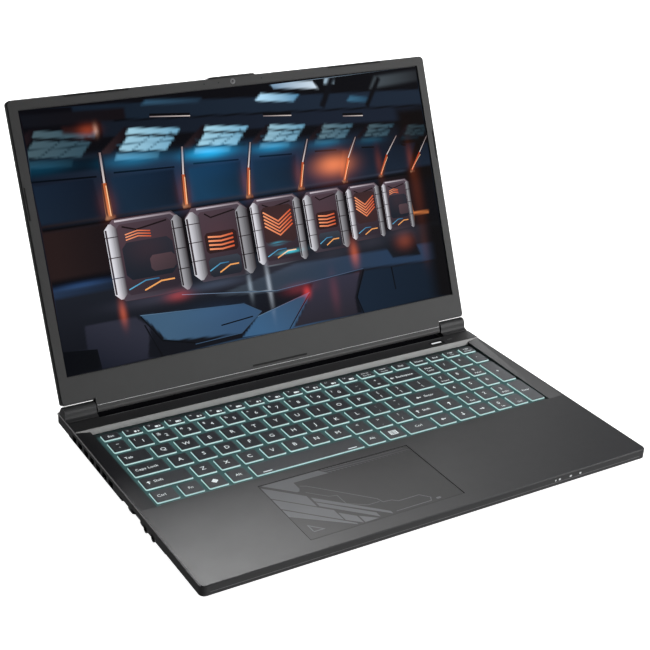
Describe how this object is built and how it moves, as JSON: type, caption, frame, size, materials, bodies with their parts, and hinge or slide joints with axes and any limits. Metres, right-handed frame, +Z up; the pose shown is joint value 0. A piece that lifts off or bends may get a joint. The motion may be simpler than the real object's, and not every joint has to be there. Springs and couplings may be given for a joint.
{
  "type": "laptop computer",
  "caption": "Clamshell laptop with a wide screen in a hinged lid, a full keyboard with number pad and an off-centre touchpad.",
  "frame": {"origin": "middle of the open laptop's footprint box, on the surface that its feet stand on", "axes": "+Z up, +X to the user's right, +Y away from the user, towards the hinge"},
  "size_m": [0.36, 0.32, 0.231],
  "materials": {
    "shell": "satin textured moulding",
    "deck_shell": "satin textured moulding",
    "bezel": "fine textured moulding",
    "underside": "matt textured moulding",
    "keycap": "satin",
    "key_plate": "painted dark, lit from below",
    "screen": "anti-glare glass",
    "rubber": "matt",
    "steel": "satin",
    "copper": "bright",
    "fin": "bright",
    "board": "solder resist",
    "black_plastic": "satin",
    "cell": "black film over pouch cells"
  },
  "bodies": {
    "base": {"top_case": "deck_shell", "bottom_cover": "underside", "foot_front": "rubber", "foot_rear": "rubber", "keyboard_plate": "key_plate", "touchpad_bracket": "steel", "mainboard": "board", "battery": "cell", "ssd": "board", "memory_module": "board", "heat_pipe": "copper", "fan_housing_left": "black_plastic", "fan_housing_right": "black_plastic", "heat_sink_left": "fin", "heat_sink_right": "fin", "speaker_left": "black_plastic", "speaker_right": "black_plastic", "hinge_bracket_left": "steel", "hinge_bracket_right": "steel", "usb_a_port_left": "steel", "usb_a_port_right": "steel", "audio_jacks": "black_plastic", "hdmi_port": "steel", "usb_c_port": "steel", "dc_inlet": "black_plastic"},
    "lid": {"lid_back_cover": "shell", "screen_bezel": "bezel", "hinge_cover_bar": "bezel", "lcd_panel": "screen", "webcam_module": "black_plastic", "display_cable": "black_plastic", "hinge_leaf_left": "steel", "hinge_leaf_right": "steel", "lid_bumper_left": "rubber", "lid_bumper_right": "rubber"},
    "keys_modifiers_left": {"keys_modifiers_left": "keycap"},
    "key_space": {"key_space": "keycap"},
    "keys_modifiers_right": {"keys_modifiers_right": "keycap"},
    "keys_arrow_row": {"keys_arrow_row": "keycap"},
    "key_shift_left": {"key_shift_left": "keycap"},
    "keys_lower_letters": {"keys_lower_letters": "keycap"},
    "key_shift_right": {"key_shift_right": "keycap"},
    "key_arrow_up": {"key_arrow_up": "keycap"},
    "key_caps_lock": {"key_caps_lock": "keycap"},
    "keys_home_letters": {"keys_home_letters": "keycap"},
    "key_enter": {"key_enter": "keycap"},
    "key_tab": {"key_tab": "keycap"},
    "keys_upper_letters": {"keys_upper_letters": "keycap"},
    "keys_number_row": {"keys_number_row": "keycap"},
    "key_backspace": {"key_backspace": "keycap"},
    "key_escape": {"key_escape": "keycap"},
    "keys_function_row": {"keys_function_row": "keycap"},
    "keys_numpad": {"keys_numpad": "keycap"},
    "key_numpad_enter": {"key_numpad_enter": "keycap"},
    "key_numpad_plus": {"key_numpad_plus": "keycap"},
    "keys_navigation": {"keys_navigation": "keycap"},
    "touchpad": {"touchpad": "deck_shell"},
    "power_button": {"power_button": "black_plastic"},
    "fan_rotor_left": {"fan_rotor_left": "black_plastic"},
    "fan_rotor_right": {"fan_rotor_right": "black_plastic"}
  },
  "joints": [
    {"name": "lid_hinge", "type": "hinge", "parent": "base", "child": "lid", "pos_m": [0, 0.0669, 0.0208], "axis": [1, 0, 0], "range_deg": [-16, 113.4]},
    {"name": "touchpad_click", "type": "hinge", "parent": "base", "child": "touchpad", "pos_m": [-0.036, -0.0773, 0.0162], "axis": [1, 0, 0], "range_deg": [0, 0.4], "stiffness_Nm_per_rad": 25, "springref_deg": -0.11},
    {"name": "power_button_press", "type": "slide", "parent": "base", "child": "power_button", "axis": [0, 0, -1], "range_m": [0, 0.0005], "stiffness_N_per_m": 2000, "springref_m": -0.0005},
    {"name": "fan_left_spin", "type": "hinge", "parent": "base", "child": "fan_rotor_left", "pos_m": [-0.118, 0.014, 0.0073], "axis": [0, 0, 1], "continuous": true},
    {"name": "fan_right_spin", "type": "hinge", "parent": "base", "child": "fan_rotor_right", "pos_m": [0.118, 0.014, 0.0073], "axis": [0, 0, 1], "continuous": true},
    {"name": "keys_modifiers_left_press", "type": "slide", "parent": "base", "child": "keys_modifiers_left", "axis": [0, 0, -1], "range_m": [0, 0.0012], "stiffness_N_per_m": 1200, "springref_m": -0.001},
    {"name": "key_space_press", "type": "slide", "parent": "base", "child": "key_space", "axis": [0, 0, -1], "range_m": [0, 0.0012], "stiffness_N_per_m": 300, "springref_m": -0.001},
    {"name": "keys_modifiers_right_press", "type": "slide", "parent": "base", "child": "keys_modifiers_right", "axis": [0, 0, -1], "range_m": [0, 0.0012], "stiffness_N_per_m": 900, "springref_m": -0.001},
    {"name": "keys_arrow_row_press", "type": "slide", "parent": "base", "child": "keys_arrow_row", "axis": [0, 0, -1], "range_m": [0, 0.0012], "stiffness_N_per_m": 900, "springref_m": -0.001},
    {"name": "key_shift_left_press", "type": "slide", "parent": "base", "child": "key_shift_left", "axis": [0, 0, -1], "range_m": [0, 0.0012], "stiffness_N_per_m": 300, "springref_m": -0.001},
    {"name": "keys_lower_letters_press", "type": "slide", "parent": "base", "child": "keys_lower_letters", "axis": [0, 0, -1], "range_m": [0, 0.0012], "stiffness_N_per_m": 3000, "springref_m": -0.001},
    {"name": "key_shift_right_press", "type": "slide", "parent": "base", "child": "key_shift_right", "axis": [0, 0, -1], "range_m": [0, 0.0012], "stiffness_N_per_m": 300, "springref_m": -0.001},
    {"name": "key_arrow_up_press", "type": "slide", "parent": "base", "child": "key_arrow_up", "axis": [0, 0, -1], "range_m": [0, 0.0012], "stiffness_N_per_m": 300, "springref_m": -0.001},
    {"name": "key_caps_lock_press", "type": "slide", "parent": "base", "child": "key_caps_lock", "axis": [0, 0, -1], "range_m": [0, 0.0012], "stiffness_N_per_m": 300, "springref_m": -0.001},
    {"name": "keys_home_letters_press", "type": "slide", "parent": "base", "child": "keys_home_letters", "axis": [0, 0, -1], "range_m": [0, 0.0012], "stiffness_N_per_m": 3300, "springref_m": -0.001},
    {"name": "key_enter_press", "type": "slide", "parent": "base", "child": "key_enter", "axis": [0, 0, -1], "range_m": [0, 0.0012], "stiffness_N_per_m": 300, "springref_m": -0.001},
    {"name": "key_tab_press", "type": "slide", "parent": "base", "child": "key_tab", "axis": [0, 0, -1], "range_m": [0, 0.0012], "stiffness_N_per_m": 300, "springref_m": -0.001},
    {"name": "keys_upper_letters_press", "type": "slide", "parent": "base", "child": "keys_upper_letters", "axis": [0, 0, -1], "range_m": [0, 0.0012], "stiffness_N_per_m": 3900, "springref_m": -0.001},
    {"name": "keys_number_row_press", "type": "slide", "parent": "base", "child": "keys_number_row", "axis": [0, 0, -1], "range_m": [0, 0.0012], "stiffness_N_per_m": 3900, "springref_m": -0.001},
    {"name": "key_backspace_press", "type": "slide", "parent": "base", "child": "key_backspace", "axis": [0, 0, -1], "range_m": [0, 0.0012], "stiffness_N_per_m": 300, "springref_m": -0.001},
    {"name": "key_escape_press", "type": "slide", "parent": "base", "child": "key_escape", "axis": [0, 0, -1], "range_m": [0, 0.0012], "stiffness_N_per_m": 300, "springref_m": -0.001},
    {"name": "keys_function_row_press", "type": "slide", "parent": "base", "child": "keys_function_row", "axis": [0, 0, -1], "range_m": [0, 0.0012], "stiffness_N_per_m": 4500, "springref_m": -0.001},
    {"name": "keys_numpad_press", "type": "slide", "parent": "base", "child": "keys_numpad", "axis": [0, 0, -1], "range_m": [0, 0.0012], "stiffness_N_per_m": 4500, "springref_m": -0.001},
    {"name": "key_numpad_enter_press", "type": "slide", "parent": "base", "child": "key_numpad_enter", "axis": [0, 0, -1], "range_m": [0, 0.0012], "stiffness_N_per_m": 300, "springref_m": -0.001},
    {"name": "key_numpad_plus_press", "type": "slide", "parent": "base", "child": "key_numpad_plus", "axis": [0, 0, -1], "range_m": [0, 0.0012], "stiffness_N_per_m": 300, "springref_m": -0.001},
    {"name": "keys_navigation_press", "type": "slide", "parent": "base", "child": "keys_navigation", "axis": [0, 0, -1], "range_m": [0, 0.0012], "stiffness_N_per_m": 1200, "springref_m": -0.001}
  ]
}
